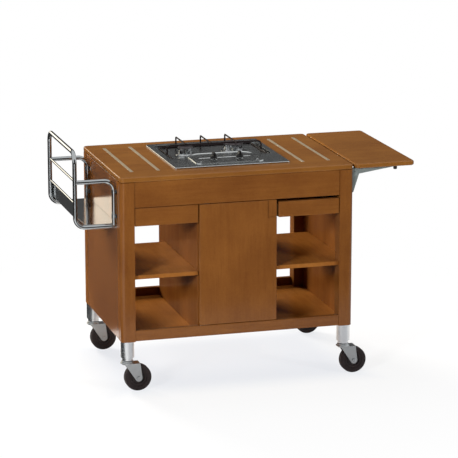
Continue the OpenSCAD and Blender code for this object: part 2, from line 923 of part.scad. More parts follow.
module rack_end_loops() {
  place() color("#c9ccd0")
    difference() {
      for (y = [-rack_front, rack_rear])
        bent_bar([[rack_x, y, loop_z], [loop_x, y, loop_z], [loop_x, y, rack_low]], tube_r, bend_r - 2);
      for (y = [-rack_front, rack_rear]) {
        bar([rack_x, y, rack_low], [rack_x, y, rack_top], tube_r + 0.1);
        bar([rack_x, y, rack_low], [0, y, rack_low], tube_r + 0.1);
      }
    }
}

module rack_rods() {
  place() color("#c9ccd0")
    difference() {
      for (z = [rod_low_z, rod_high_z]) bar([rack_x, -rack_front, z], [rack_x, rack_rear, z], rod_r);
      for (y = [-rack_front, rack_rear]) {
        bar([rack_x, y, rack_low], [rack_x, y, rack_top], tube_r + 0.1);
        bar([rack_x, y, loop_z], [loop_x, y, loop_z], tube_r + 0.1);
      }
    }
}

// Sheet bent in a J from the lower rod down and under the bottles
module rack_tray() {
  inner = -panel_out - seat;
  len_y = rack_front + rack_rear;
  place() color("#9ba0a4")
    difference() {
      translate([0, -rack_front, 0]) rotate([90, 0, 180]) mirror([1, 0, 0])
        linear_extrude(len_y) difference() {
          union() {
            translate([tray_x, tray_floor + tray_bend])
              square([tray_t, tray_top - tray_floor - tray_bend]);
            intersection() {
              translate([tray_x + tray_bend, tray_floor + tray_bend]) difference() {
                circle(tray_bend);
                circle(tray_bend - tray_t);
              }
              translate([tray_x, tray_floor]) square(tray_bend);
            }
            translate([tray_x + tray_bend, tray_floor])
              square([inner - tray_x - tray_bend, tray_t]);
          }
        }
      for (y = [-rack_front, rack_rear])
        bar([loop_x, y, rack_low], [loop_x, y, loop_z], tube_r + 1);
    }
}

// Saddle clips that hold the end loops to the side panel
module rack_clips() {
  place() color("#b7babd")
    for (y = [-rack_front, rack_rear], z = clip_zs)
      translate([loop_x, y, z])
        difference() {
          union() {
            cylinder(h = 14, r = tube_r + 1.6);
            translate([-panel_out - loop_x - 1.4, -tube_r - 12, 0])
              cube([1.4, 2 * tube_r + 24, 14]);
          }
          translate([0, 0, -1]) cylinder(h = 16, r = tube_r + 0.1);
          translate([-panel_out - loop_x, -30, -1]) cube([30, 60, 16]);
        }
}

// Running gear
module at_legs() {
  for (sx = [-1, 1], sy = [-1, 1]) translate([sx * leg_x, sy * leg_y, 0]) children();
}

module leg_tubes() {
  place() color("#c2c5c9")
    at_legs()
      difference() {
        union() {
          translate([0, 0, tube_z]) cylinder(h = body_z - tube_z, r = leg_r);
          translate([0, 0, race_top + swivel_gap])
            cylinder(h = tube_z - race_top + 4, r = plug_r);
        }
        translate([0, 0, tube_z + 20]) cylinder(h = body_z - tube_z - 24, r = leg_r - leg_wall);
        translate([0, 0, race_top - 1]) cylinder(h = 26, r = stem_r + run);
      }
}

module cheek_plate(y) {
  translate([0, y + fork_t, 0]) rotate([90, 0, 0])
    linear_extrude(fork_t) {
      translate([trail, wheel_r]) circle(cheek_end_r);
      polygon([
        [-14, race_z], [trail + 6, race_z], [trail + cheek_end_r, wheel_r + 1],
        [trail - 11, wheel_r - 7]
      ]);
    }
}

// Fork: stem, raceway, crown, two cheeks and the axle bolt
module fork(sx, sy) {
  half_w = fork_gap / 2 + fork_t;
  place() color("#a9aeb1")
    translate([sx * leg_x, sy * leg_y, 0]) {
      translate([0, 0, race_z]) {
        cylinder(h = race_h + 20, r = stem_r);
        rotate_extrude()
          polygon([[0, 0], [26, 0], [26, 2], [22, 5], [22, 8], [17, race_h], [0, race_h]]);
      }
      translate([0, 0, race_z - crown_t]) linear_extrude(crown_t) {
        circle(half_w);
        translate([0, -half_w]) square([trail + 6, 2 * half_w]);
      }
      for (y = [-half_w, fork_gap / 2]) cheek_plate(y);
      translate([trail, 0, wheel_r]) rotate([90, 0, 0]) {
        cylinder(h = 2 * half_w, r = axle_r, center = true);
        for (z = [-half_w - 4, half_w]) translate([0, 0, z]) cylinder(h = 4, r = 7, $fn = 6);
      }
    }
}

module at_wheel(sx, sy) {
  place() translate([sx * leg_x + trail, sy * leg_y, wheel_r]) rotate([90, 0, 0]) children();
}

module wheel(sx, sy) {
  color("#33302f") at_wheel(sx, sy)
    difference() {
      rotate_extrude()
        polygon([
          [0, -hub_half], [9, -hub_half], [11, -10], [24, -8], [25, -12], [rim_r, -12],
          [rim_r, 12], [25, 12], [24, 8], [11, 10], [9, hub_half], [0, hub_half]
        ]);
      cylinder(h = far, r = axle_r + run, center = true);
    }
}

module tyre(sx, sy) {
  half = tyre_w / 2;
  color("#2c2626") at_wheel(sx, sy)
    rotate_extrude() {
      translate([rim_r + run, -half + 2]) square([wheel_r - rim_r - run - 3, tyre_w - 4]);
      translate([rim_r + run, -half + 5]) square([wheel_r - rim_r - run, tyre_w - 10]);
      translate([rim_r + run + 4, -half]) square([wheel_r - rim_r - run - 9, tyre_w]);
      for (s = [-1, 1]) translate([wheel_r - 5, s * (half - 5)]) circle(5);
    }
}

worktop();
worktop_strips();
post(-1, -1);  // post_front_left
post(1, -1);  // post_front_right
post(-1, 1);  // post_back_left
post(1, 1);  // post_back_right
side_panel(-1);  // side_panel_left
side_panel(1);  // side_panel_right
apron(-1);  // front_apron
apron(1);  // back_apron
bottom_rail(-1);  // bottom_rail_front
bottom_rail(1);  // bottom_rail_back
bottom_board();
divider(-1);  // divider_left
divider(1);  // divider_right
shelf(-1);  // shelf_left
shelf(1);  // shelf_right
door();
door_pivots();
catch_plate();
door_catch();
drawer_front(-1, door_half + 4, door_gap);  // drawer_left_front
drawer_box(-1);  // drawer_left_box
drawer_front(1, door_half + 8, finger_gap);  // drawer_right_front
drawer_box(1);  // drawer_right_box
drawer_runners();
hob_plate();
hob_underbox();
pan_support();
burner(burner_l_x, burner_y, burner_l_r);  // burner_left
burner(burner_r_x, burner_y + burner_r_back, burner_r_r);  // burner_right
burner_caps();
gas_taps();
tap_spindle(-1);  // tap_spindle_left
tap_spindle(1);  // tap_spindle_right
knob(-1);  // knob_left
knob(1);  // knob_right
flap();
flap_wall_brackets();
flap_arm(-1);  // flap_arm_front
flap_arm(1);  // flap_arm_back
flap_bumpers();
rack_frame();
rack_end_loops();
rack_rods();
rack_tray();
rack_clips();
leg_tubes();
fork(-1, -1);  // fork_front_left
fork(1, -1);  // fork_front_right
fork(-1, 1);  // fork_back_left
fork(1, 1);  // fork_back_right
wheel(-1, -1);  // wheel_front_left
wheel(1, -1);  // wheel_front_right
wheel(-1, 1);  // wheel_back_left
wheel(1, 1);  // wheel_back_right
tyre(-1, -1);  // tyre_front_left
tyre(1, -1);  // tyre_front_right
tyre(-1, 1);  // tyre_back_left
tyre(1, 1);  // tyre_back_right
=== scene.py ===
# %% [markdown]
# # A flambe cart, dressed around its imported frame
# The frame holds every rigid piece of the cart at its place, in metres. This script gives each of them a finish,
# adds the soft edges, screws and small fittings that the frame leaves out, and sets the camera and the light.
# It opens with the frame, because every size below is read from it.

# %% The frame
import json
import math
import bpy
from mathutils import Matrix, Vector


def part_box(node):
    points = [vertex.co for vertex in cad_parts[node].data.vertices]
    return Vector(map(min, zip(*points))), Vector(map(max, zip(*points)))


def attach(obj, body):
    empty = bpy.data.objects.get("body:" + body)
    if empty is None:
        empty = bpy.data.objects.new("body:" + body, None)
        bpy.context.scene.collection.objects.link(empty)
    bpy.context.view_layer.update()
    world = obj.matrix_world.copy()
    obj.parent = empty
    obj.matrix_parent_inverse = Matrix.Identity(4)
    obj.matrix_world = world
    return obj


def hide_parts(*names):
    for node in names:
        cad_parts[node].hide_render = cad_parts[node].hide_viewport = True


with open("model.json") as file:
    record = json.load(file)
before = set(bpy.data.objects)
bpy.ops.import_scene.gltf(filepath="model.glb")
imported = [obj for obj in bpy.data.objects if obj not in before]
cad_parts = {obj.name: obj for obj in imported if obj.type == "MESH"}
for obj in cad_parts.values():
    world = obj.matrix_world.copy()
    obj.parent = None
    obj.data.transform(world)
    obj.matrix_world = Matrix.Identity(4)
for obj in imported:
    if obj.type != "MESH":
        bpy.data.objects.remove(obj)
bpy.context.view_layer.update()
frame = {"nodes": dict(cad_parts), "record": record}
nodes = frame["nodes"]
MM = 0.001
UP = Vector((0, 0, 1))
print("pieces in the frame:", len(nodes))

# %% [markdown]
# ## Where things are
# The cabinet is centred on the middle of its worktop, which isn't the middle of the whole cart, because the flap and
# the bottle rack reach out by different amounts. It is read from the frame rather than typed in.

# %% The middle of the worktop
top_low, top_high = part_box("worktop")
middle = (top_low + top_high) / 2
print("worktop", [round(v, 4) for v in top_high - top_low], "at height", round(top_high.z, 4))

# %% [markdown]
# ## Camera
# The photograph was taken with a long lens from the front left, a little above the worktop. The place of the
# camera was found by fitting the corners of the cart, so the picture lines up with the photograph.

# %% Camera
CAMERA_YAW = math.radians(16.0967)
CAMERA_PITCH = math.radians(13.4805)
CAMERA_DISTANCE = 9.0956
CAMERA_LENS = 188.72
AIM = Vector((middle.x + 0.05164, 0, 0.51508))
away = Vector((-math.sin(CAMERA_YAW) * math.cos(CAMERA_PITCH),
               -math.cos(CAMERA_YAW) * math.cos(CAMERA_PITCH),
               math.sin(CAMERA_PITCH)))
lens = bpy.data.cameras.new("photo_camera")
lens.lens = CAMERA_LENS
lens.sensor_width = 36
camera = bpy.data.objects.new("photo_camera", lens)
camera.location = AIM + away * CAMERA_DISTANCE
camera.rotation_euler = (-away).to_track_quat("-Z", "Y").to_euler()
bpy.context.scene.collection.objects.link(camera)
bpy.context.scene.camera = camera
bpy.context.scene.view_settings.view_transform = "Standard"
print("camera at", [round(v, 3) for v in camera.location])

# %% [markdown]
# ## Writing a material as arithmetic
# A material is a small program made of nodes. `Wire` holds one output of a node, and plus, times and minus on it
# add the Math nodes, so a mask can be written as a formula. `Finish` is the program of one material, or of the
# world: it adds any node by its type and mixes colours, and `finish` ends a material in one Principled shader.

# %% Wire and Finish
class Wire:
    def __init__(self, finish, socket):
        self.finish = finish
        self.socket = socket

    def maths(self, operation, first, second=0.0):
        return self.finish.add("ShaderNodeMath", {"operation": operation}, {0: first, 1: second})

    def __add__(self, other):
        return self.maths("ADD", self, other)

    def __mul__(self, other):
        return self.maths("MULTIPLY", self, other)

    def __sub__(self, other):
        return self.maths("SUBTRACT", self, other)

    def __rsub__(self, other):
        return self.maths("SUBTRACT", other, self)

    def __abs__(self):
        return self.maths("ABSOLUTE", self)

    __radd__ = __add__
    __rmul__ = __mul__

    def larger(self, other):
        return self.maths("MAXIMUM", self, other)

    def step(self, low, high):
        """0 below low, 1 above high, smooth between."""
        return self.finish.add("ShaderNodeMapRange", {"interpolation_type": "SMOOTHSTEP"},
                               {"Value": self, "From Min": low, "From Max": high})


class Finish:
    def __init__(self, owner):
        self.owner = owner
        owner.use_nodes = True
        self.tree = owner.node_tree
        self.tree.nodes.clear()

    def add(self, kind, settings=None, sockets=None, out=0):
        made = self.tree.nodes.new(kind)
        for key, value in (settings or {}).items():
            if key == "stops":
                self.set_stops(made.color_ramp, value)
            else:
                setattr(made, key, value)
        for key, value in (sockets or {}).items():
            self.feed(made.inputs[key], value)
        return Wire(self, made.outputs[out]) if len(made.outputs) else None

    def feed(self, socket, value):
        if isinstance(value, Wire):
            self.tree.links.new(value.socket, socket)
        elif isinstance(value, tuple) and len(value) == 3 and socket.type == "RGBA":
            socket.default_value = (*value, 1)
        else:
            socket.default_value = value

    def set_stops(self, ramp, stops):
        for place, colour in stops:
            stop = ramp.elements.new(place)
            stop.color = (*colour, 1)
        ramp.elements.remove(ramp.elements[0])
        ramp.elements.remove(ramp.elements[-1])

    def place(self, scale=(1, 1, 1), shift=(0, 0, 0)):
        """The point on the piece in metres, stretched or shifted."""
        where = self.add("ShaderNodeTexCoord", out="Object")
        return self.add("ShaderNodeMapping", {}, {"Vector": where, "Scale": scale, "Location": shift})

    def noise(self, where, scale, detail, rough):
        return self.add("ShaderNodeTexNoise", {}, {"Vector": where, "Scale": scale, "Detail": detail,
                                                   "Roughness": rough})

    def mix(self, factor, first, second):
        made = self.tree.nodes.new("ShaderNodeMix")
        made.data_type = "RGBA"
        self.feed(made.inputs[0], factor)
        self.feed(made.inputs[6], first)
        self.feed(made.inputs[7], second)
        return Wire(self, made.outputs[2])

    def ramp(self, value, stops):
        return self.add("ShaderNodeValToRGB", {"stops": stops}, {"Fac": value})

    def bump(self, height, distance, strength):
        return self.add("ShaderNodeBump", {}, {"Height": height, "Distance": distance, "Strength": strength})

    def emission(self, colour):
        return self.add("ShaderNodeEmission", {}, {"Color": colour, "Strength": 1.0})

    def surface(self, shader):
        self.add("ShaderNodeOutputMaterial", {}, {"Surface": shader})
        return self.owner

    def finish(self, **sockets):
        return self.surface(self.add("ShaderNodeBsdfPrincipled", {},
                                     {key.replace("_", " "): value for key, value in sockets.items()}))


def new_finish(name):
    return Finish(bpy.data.materials.new(name))


def squeezed(axis, share):
    """A scale that draws a pattern out along one axis."""
    return tuple(share if letter == axis else 1.0 for letter in "XYZ")

print("material helpers ready")

# %% [markdown]
# ## Stained wood
# The cabinet is a close-grained wood, stained a warm reddish brown and varnished. What the eye reads is a faint
# long grain, a cloudy change of tone from place to place, fine dark pores, and a satin coat on top. The noise is
# squeezed along one axis, so the same recipe gives boards that run along X, along Y or upright. Tones are given as
# pale, middle and dark.

# %% Wood finish
def wood(name, tones, along, coat):
    pale, mid, dark = tones
    f = new_finish(name)
    long = squeezed(along, 0.07)
    grain = f.noise(f.place(long), 95.0, 5.0, 0.6)
    streak = f.noise(f.place(long, shift=(3.1, 1.7, 0.4)), 26.0, 3.0, 0.5)
    cloud = f.noise(f.place(shift=(0.7, 2.3, 1.1)), 5.5, 3.0, 0.5)
    mottle = f.noise(f.place(), 150.0, 3.0, 0.6)
    tone = grain * 0.30 + streak * 0.28 + cloud * 0.55 + mottle * 0.22 - 0.30
    colour = f.ramp(tone, [(0.22, dark), (0.50, mid), (0.78, pale)])
    pores = f.noise(f.place(squeezed(along, 0.018)), 900.0, 2.0, 0.5).step(0.60, 0.72)
    colour = f.mix(pores * 0.35, colour, tuple(0.45 * c for c in dark))
    return f.finish(Base_Color=colour, Roughness=0.52 + grain * 0.12, Specular_IOR_Level=0.0,
                    Coat_Weight=grain * 0.2 + (coat - 0.1), Coat_Roughness=0.16,
                    Normal=f.bump(pores * -0.5 + grain * 0.35, 0.00035, 0.4))

TOP_TONES = (0.290, 0.124, 0.0235), (0.226, 0.090, 0.0165), (0.166, 0.060, 0.0105)
PLAIN_TONES = (0.262, 0.102, 0.0205), (0.196, 0.071, 0.0140), (0.136, 0.045, 0.0088)
PANEL_TONES = (0.262, 0.098, 0.0205), (0.196, 0.068, 0.0140), (0.136, 0.043, 0.0088)
# The shelves and the bottom board are the same wood as the rest, made about half again paler: painted light, standing
# in for light inside the open bays.
SHELF_TONES_PAINTED_LIGHT = (0.370, 0.150, 0.0310), (0.292, 0.110, 0.0220), (0.212, 0.072, 0.0138)
INNER_TONES = (0.52, 0.33, 0.16), (0.43, 0.25, 0.11), (0.33, 0.17, 0.07)
finishes = {
    "top_wood": wood("top_wood", TOP_TONES, "X", 0.60),
    "upright_wood": wood("upright_wood", PLAIN_TONES, "Z", 0.55),
    "cross_wood": wood("cross_wood", PLAIN_TONES, "X", 0.55),
    "panel_wood": wood("panel_wood", PANEL_TONES, "Z", 0.35),
    "side_wood": wood("side_wood", PANEL_TONES, "Z", 1.0),
    "shelf_wood": wood("shelf_wood", SHELF_TONES_PAINTED_LIGHT, "Y", 0.25),
    "inner_wood": wood("inner_wood", INNER_TONES, "Y", 0.15),
}
print("woods:", len(finishes))

# %% [markdown]
# ## Metals, plastics and rubber
# Steel differs from piece to piece by its polish: fine lines run along a brushed sheet, satin chrome is nearly
# smooth with a cloudy haze, zinc is dull and mottled. Each recipe is a colour, a roughness that wanders, and a
# very small bump.

# %% Metal and plastic finishes
def metal(name, colour, rough, wander, lines=None, line_rough=0.12, worn=0.12, bare=1.0):
    f = new_finish(name)
    cloud = f.noise(f.place(), 22.0, 3.0, 0.55)
    roughness = cloud * (2 * wander) + (rough - wander)
    if lines:
        height = f.noise(f.place(squeezed(lines, 0.012)), 1500.0, 2.0, 0.6)
        roughness = roughness + height * line_rough - line_rough / 2
    else:
        height = f.noise(f.place(), 700.0, 2.0, 0.5)
    shade = f.mix(cloud, tuple(c * (1 - worn) for c in colour), tuple(min(1, c * (1 + worn)) for c in colour))
    return f.finish(Base_Color=shade, Metallic=bare, Roughness=roughness, Normal=f.bump(height, 0.00006, 0.35))


def moulded(name, colour, rough, grit=0.00008, coat=0.0, dust=0.25, shine=0.3):
    f = new_finish(name)
    cloud = f.noise(f.place(), 35.0, 3.0, 0.6)
    grain = f.noise(f.place(), 1300.0, 2.0, 0.6)
    shade = f.mix(cloud.step(0.35, 0.75) * dust, colour, tuple(min(1, c * 2.0 + 0.006) for c in colour))
    return f.finish(Base_Color=shade, Roughness=cloud * 0.14 + (rough - 0.07), Coat_Weight=coat,
                    Specular_IOR_Level=shine, Normal=f.bump(grain, grit, 0.6))

metals = {
    "inlay_metal": dict(colour=(0.46, 0.37, 0.25), rough=0.34, wander=0.05, lines="Y", bare=0.45),
    "dark_steel": dict(colour=(0.12, 0.09, 0.07), rough=0.42, wander=0.06),
    "hob_steel": dict(colour=(0.56, 0.58, 0.58), rough=0.25, wander=0.04, lines="X", line_rough=0.06),
    "box_steel": dict(colour=(0.42, 0.44, 0.45), rough=0.42, wander=0.06),
    "tray_steel": dict(colour=(0.66, 0.68, 0.69), rough=0.11, wander=0.02, lines="Y", line_rough=0.03),
    "tube_chrome": dict(colour=(0.40, 0.42, 0.43), rough=0.07, wander=0.02, worn=0.06),
    "leg_chrome": dict(colour=(0.60, 0.62, 0.64), rough=0.24, wander=0.05, lines="Z", line_rough=0.08, worn=0.06),
    "zinc": dict(colour=(0.42, 0.44, 0.45), rough=0.38, wander=0.10, worn=0.2),
    "burner_alloy": dict(colour=(0.46, 0.47, 0.48), rough=0.15, wander=0.05),
    "brass": dict(colour=(0.62, 0.43, 0.16), rough=0.34, wander=0.08),
    "screw_steel": dict(colour=(0.55, 0.56, 0.57), rough=0.25, wander=0.06),
}
mouldings = {
    "bracket_paint": dict(colour=(0.145, 0.165, 0.160), rough=0.42, grit=0.00005, coat=0.15, dust=0.35),
    "black_enamel": dict(colour=(0.010, 0.006, 0.006), rough=0.40, grit=0.00004, dust=0.1, shine=0.12),
    "cap_enamel": dict(colour=(0.030, 0.024, 0.026), rough=0.34, grit=0.00006, coat=0.2, dust=0.3),
    "knob_black": dict(colour=(0.005, 0.005, 0.005), rough=0.22, grit=0.00003, dust=0.05, shine=0.25),
    "rubber_black": dict(colour=(0.018, 0.016, 0.016), rough=0.70, grit=0.00020),
    "tyre_rubber": dict(colour=(0.012, 0.008, 0.008), rough=0.62, grit=0.00025, dust=0.35),
    "wheel_nylon": dict(colour=(0.014, 0.010, 0.010), rough=0.50, grit=0.00010, dust=0.3),
    "catch_plastic": dict(colour=(0.045, 0.045, 0.050), rough=0.55),
}
for recipe, table in ((metal, metals), (moulded, mouldings)):
    for name, values in table.items():
        finishes[name] = recipe(name, **values)
print("finishes:", len(finishes))

# %% [markdown]
# ## Dressing the frame's own pieces
# Most pieces of the frame already have their true shape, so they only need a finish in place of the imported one.
# The same table says which finish a softened copy gets further down.

# %% Finishes for the pieces of the frame
CORNERS = ("front_left", "front_right", "back_left", "back_right")


def at_corners(stem):
    return [stem + corner for corner in CORNERS]

dress = {
    "top_wood": ["worktop", "flap"],
    "upright_wood": at_corners("post_") + ["door"],
    "cross_wood": ["front_apron", "back_apron", "bottom_rail_front", "bottom_rail_back", "drawer_left_front",
                   "drawer_right_front"],
    "panel_wood": ["side_panel_right", "divider_left", "divider_right"],
    "side_wood": ["side_panel_left"],
    # The shelves and the bottom board take the paler wood, whose paleness is painted light for the open bays.
    "shelf_wood": ["shelf_left", "shelf_right", "bottom_board"],
    "inner_wood": ["drawer_left_box", "drawer_right_box", "drawer_runners"],
    "inlay_metal": ["worktop_strips"],
    "hob_steel": ["hob_plate"],
    "box_steel": ["hob_underbox"],
    "tray_steel": ["rack_tray"],
    "tube_chrome": ["rack_frame", "rack_end_loops", "rack_rods", "rack_clips"],
    "leg_chrome": ["leg_tubes"],
    "zinc": at_corners("fork_") + ["catch_plate"],
    "dark_steel": ["door_pivots"],
    "burner_alloy": ["burner_left", "burner_right"],
    "brass": ["gas_taps"],
    "screw_steel": ["tap_spindle_left", "tap_spindle_right"],
    "bracket_paint": ["flap_wall_brackets", "flap_arm_front", "flap_arm_back"],
    "black_enamel": ["pan_support"],
    "cap_enamel": ["burner_caps"],
    "knob_black": ["knob_left", "knob_right"],
    "rubber_black": ["flap_bumpers"],
    "tyre_rubber": at_corners("tyre_"),
    "wheel_nylon": at_corners("wheel_"),
    "catch_plastic": ["door_catch"],
}
finish_of = {member: name for name, members in dress.items() for member in members}
for member, name in finish_of.items():
    for slot in nodes[member].material_slots:
        slot.material = finishes[name]
print("pieces without a finish:", sorted(set(nodes) - set(finish_of)))

# %% [markdown]
# ## Modelling by hand, in code
# Operators work on whatever is selected, so each helper first clears the selection and then takes its own piece.
# `mark` opens a piece in edit mode with chosen faces or corners selected, and `leave` closes edit mode.
# `settle` ends a piece: its place goes into its mesh, it gets its finish, smooth shading that keeps sharp edges, and
# the body it moves with.

# %% Helpers for modelling
behaviour = frame["record"]["behaviour"]
body_of = {node: body for body, members in behaviour["bodies"].items() for node in members}


def leave():
    bpy.ops.object.mode_set(mode="OBJECT")


def clear():
    if bpy.context.object is not None and bpy.context.object.mode != "OBJECT":
        leave()
    bpy.ops.object.select_all(action="DESELECT")


def take(*pieces):
    clear()
    for piece in pieces:
        piece.select_set(True)
    bpy.context.view_layer.objects.active = pieces[0]


def mark(piece, kind, test):
    take(piece)
    bpy.ops.object.mode_set(mode="EDIT")
    bpy.ops.mesh.select_mode(type=kind)
    bpy.ops.mesh.select_all(action="DESELECT")
    leave()
    mesh = piece.data
    parts = {"FACE": mesh.polygons, "VERT": mesh.vertices}[kind]
    for part in parts:
        part.select = bool(test(part))
    bpy.ops.object.mode_set(mode="EDIT")


def settle(piece, name, finish_name, node, angle=32):
    take(piece)
    bpy.ops.object.transform_apply(location=True, rotation=True, scale=True)
    piece.name = name
    piece.data.materials.clear()
    piece.data.materials.append(finishes[finish_name])
    bpy.ops.object.shade_smooth_by_angle(angle=math.radians(angle))
    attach(piece, body_of[node])

# %% [markdown]
# ## Edges that have been sanded and pressed
# No real edge is a perfect corner: boards are sanded, sheet is rounded by the press, castings have a radius. A
# copy of a piece of the frame is merged, its flat triangles are joined into whole faces, and a Bevel modifier
# rounds every edge that turns sharply. Weighted normals keep the large faces level beside those rounded edges.
# The copy then stands for the frame's piece. Widths are in metres.

# %% Softened copies of the frame's pieces
def soften(node, width, segments=3, angle=32, reshape=None):
    clear()
    piece = bpy.data.objects.new(node + "_piece", nodes[node].data.copy())
    bpy.context.scene.collection.objects.link(piece)
    take(piece)
    bpy.ops.object.mode_set(mode="EDIT")
    bpy.ops.mesh.select_all(action="SELECT")
    bpy.ops.mesh.remove_doubles(threshold=0.000005)
    bpy.ops.mesh.dissolve_limited(angle_limit=math.radians(0.6))
    leave()
    if reshape is not None:
        reshape(piece)
    edges = piece.modifiers.new("edges", "BEVEL")
    edges.width = width
    edges.segments = segments
    edges.limit_method = "ANGLE"
    edges.angle_limit = math.radians(angle)
    bpy.ops.object.modifier_apply(modifier="edges")
    settle(piece, node + "_piece", finish_of[node], node)
    level = piece.modifiers.new("level", "WEIGHTED_NORMAL")
    level.keep_sharp = True
    level.weight = 100
    bpy.ops.object.modifier_apply(modifier="level")
    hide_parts(node)
    return piece

softened = [
    (0.0012, at_corners("post_") + ["door", "front_apron", "back_apron", "drawer_left_front",
                                    "drawer_right_front"]),
    (0.0022, ["bottom_rail_front", "bottom_rail_back"]),
    (0.0008, ["side_panel_right", "divider_left", "divider_right", "side_panel_left"]),
    (0.0016, ["shelf_left", "shelf_right"]),
    (0.0008, ["drawer_left_box", "drawer_right_box"]),
    (0.0005, ["flap_wall_brackets", "flap_arm_front", "flap_arm_back"]),
    (0.0008, at_corners("fork_") + at_corners("wheel_")),
    (0.0009, ["knob_left", "knob_right"]),
    (0.0004, ["rack_clips", "rack_tray"]),
    (0.0003, ["worktop_strips"]),
]
for width, members in softened:
    for member in members:
        soften(member, width)
print("softened pieces:", sum(len(members) for _, members in softened))

# %% [markdown]
# ## The pressed hob
# The hob is one sheet of stainless steel, deep-drawn in a press, so every step in it has a soft radius. The same
# rounding is used as for the boards, with more segments. The raised control field has a lip round it and a floor
# that lies a little lower. The whole underside of the field goes down by as much, so the floor keeps the thickness of
# the sheet, but the metal under the lip is thicker than a pressed sheet would be.

# %% Hob sheet
hob_low, hob_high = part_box("hob_plate")
hob_middle = (hob_low + hob_high) / 2
SHEET = 0.002
LIP_WIDTH = 0.0065
SLOPE_WIDTH = 0.0026
PRESS = 0.0020
SAME_LEVEL = 0.0003
well_z = hob_low.z + SHEET
field_z = hob_high.z

def press_field(piece):
    mark(piece, "FACE", lambda face: face.normal.z > 0.9 and abs(face.center.z - field_z) < SAME_LEVEL)
    bpy.ops.mesh.inset(thickness=LIP_WIDTH)
    bpy.ops.mesh.inset(thickness=SLOPE_WIDTH, depth=-PRESS)
    mark(piece, "FACE", lambda face: face.normal.z < -0.9 and abs(face.center.z - field_z + SHEET) < SAME_LEVEL)
    bpy.ops.transform.translate(value=(0, 0, -PRESS))
    leave()

hob = soften("hob_plate", 0.0012, segments=4, angle=34, reshape=press_field)
print("hob faces:", len(hob.data.polygons), "well at", round(well_z, 4), "field at", round(field_z, 4))

# %% [markdown]
# A shallow bead is pressed across the middle of the field, behind the knobs, where the photograph shows a bright
# line. It starts as a small box: its upper face is squeezed to a narrow ridge and its edges are rounded over.

# %% Bead across the field
BEAD_LENGTH, BEAD_WIDTH, BEAD_HIGH = 0.205, 0.014, 0.0016
BEAD_X, BEAD_Y = 0.005, -0.086
clear()
bpy.ops.mesh.primitive_cube_add(size=1, location=(hob_middle.x + BEAD_X, hob_middle.y + BEAD_Y, field_z - PRESS))
bead = bpy.context.object
bead.scale = (BEAD_LENGTH, BEAD_WIDTH, 2 * BEAD_HIGH)
bpy.ops.object.transform_apply(scale=True)
mark(bead, "FACE", lambda face: face.normal.z > 0.9)
bpy.ops.transform.resize(value=(0.95, 0.30, 1))
mark(bead, "FACE", lambda face: face.normal.z < -0.9)
bpy.ops.transform.translate(value=(0, 0, 0.7 * BEAD_HIGH))
leave()
rounding = bead.modifiers.new("rounding", "BEVEL")
rounding.width = 0.0005
rounding.segments = 3
bpy.ops.object.modifier_apply(modifier="rounding")
settle(bead, "hob_bead", "hob_steel", "hob_plate")
print("bead corners:", len(bead.data.vertices))

# %% [markdown]
# ## Turned pieces
# Burners and caps are turned or cast round. `turned` starts from a filled circle and pulls its face along a
# profile, step by step, by extruding and scaling, which is how the shape would be drawn by hand.

# %% Turning a profile
def turned(profile, place, segments=96):
    """A round solid through the (radius, height) points given in millimetres, standing at place."""
    last_r, last_z = profile[0]
    clear()
    bpy.ops.mesh.primitive_circle_add(vertices=segments, radius=last_r * MM, fill_type="NGON",
                                      location=(0, 0, last_z * MM))
    piece = bpy.context.object
    bpy.ops.object.transform_apply(location=True)
    bpy.ops.object.mode_set(mode="EDIT")
    bpy.ops.mesh.select_mode(type="FACE")
    bpy.ops.mesh.select_all(action="SELECT")
    for radius, height in profile[1:]:
        bpy.ops.mesh.extrude_region_move(TRANSFORM_OT_translate={"value": (0, 0, (height - last_z) * MM)})
        share = radius / last_r
        bpy.ops.transform.resize(value=(share, share, 1), center_override=(0, 0, height * MM))
        last_r, last_z = radius, height
    mark(piece, "FACE", lambda face: True)
    bpy.ops.mesh.normals_make_consistent(inside=False)
    leave()
    piece.location = place
    bpy.ops.object.transform_apply(location=True)
    return piece

# %% [markdown]
# ## Burners
# A burner is an aluminium casting: a ringed foot that sits in the well, a waist, and a crown with a ring of flame
# ports, closed by a loose enamelled cap. The ports are small windows pressed into the faces of the crown's wall
# that lie near the middle of each step of 15 degrees.

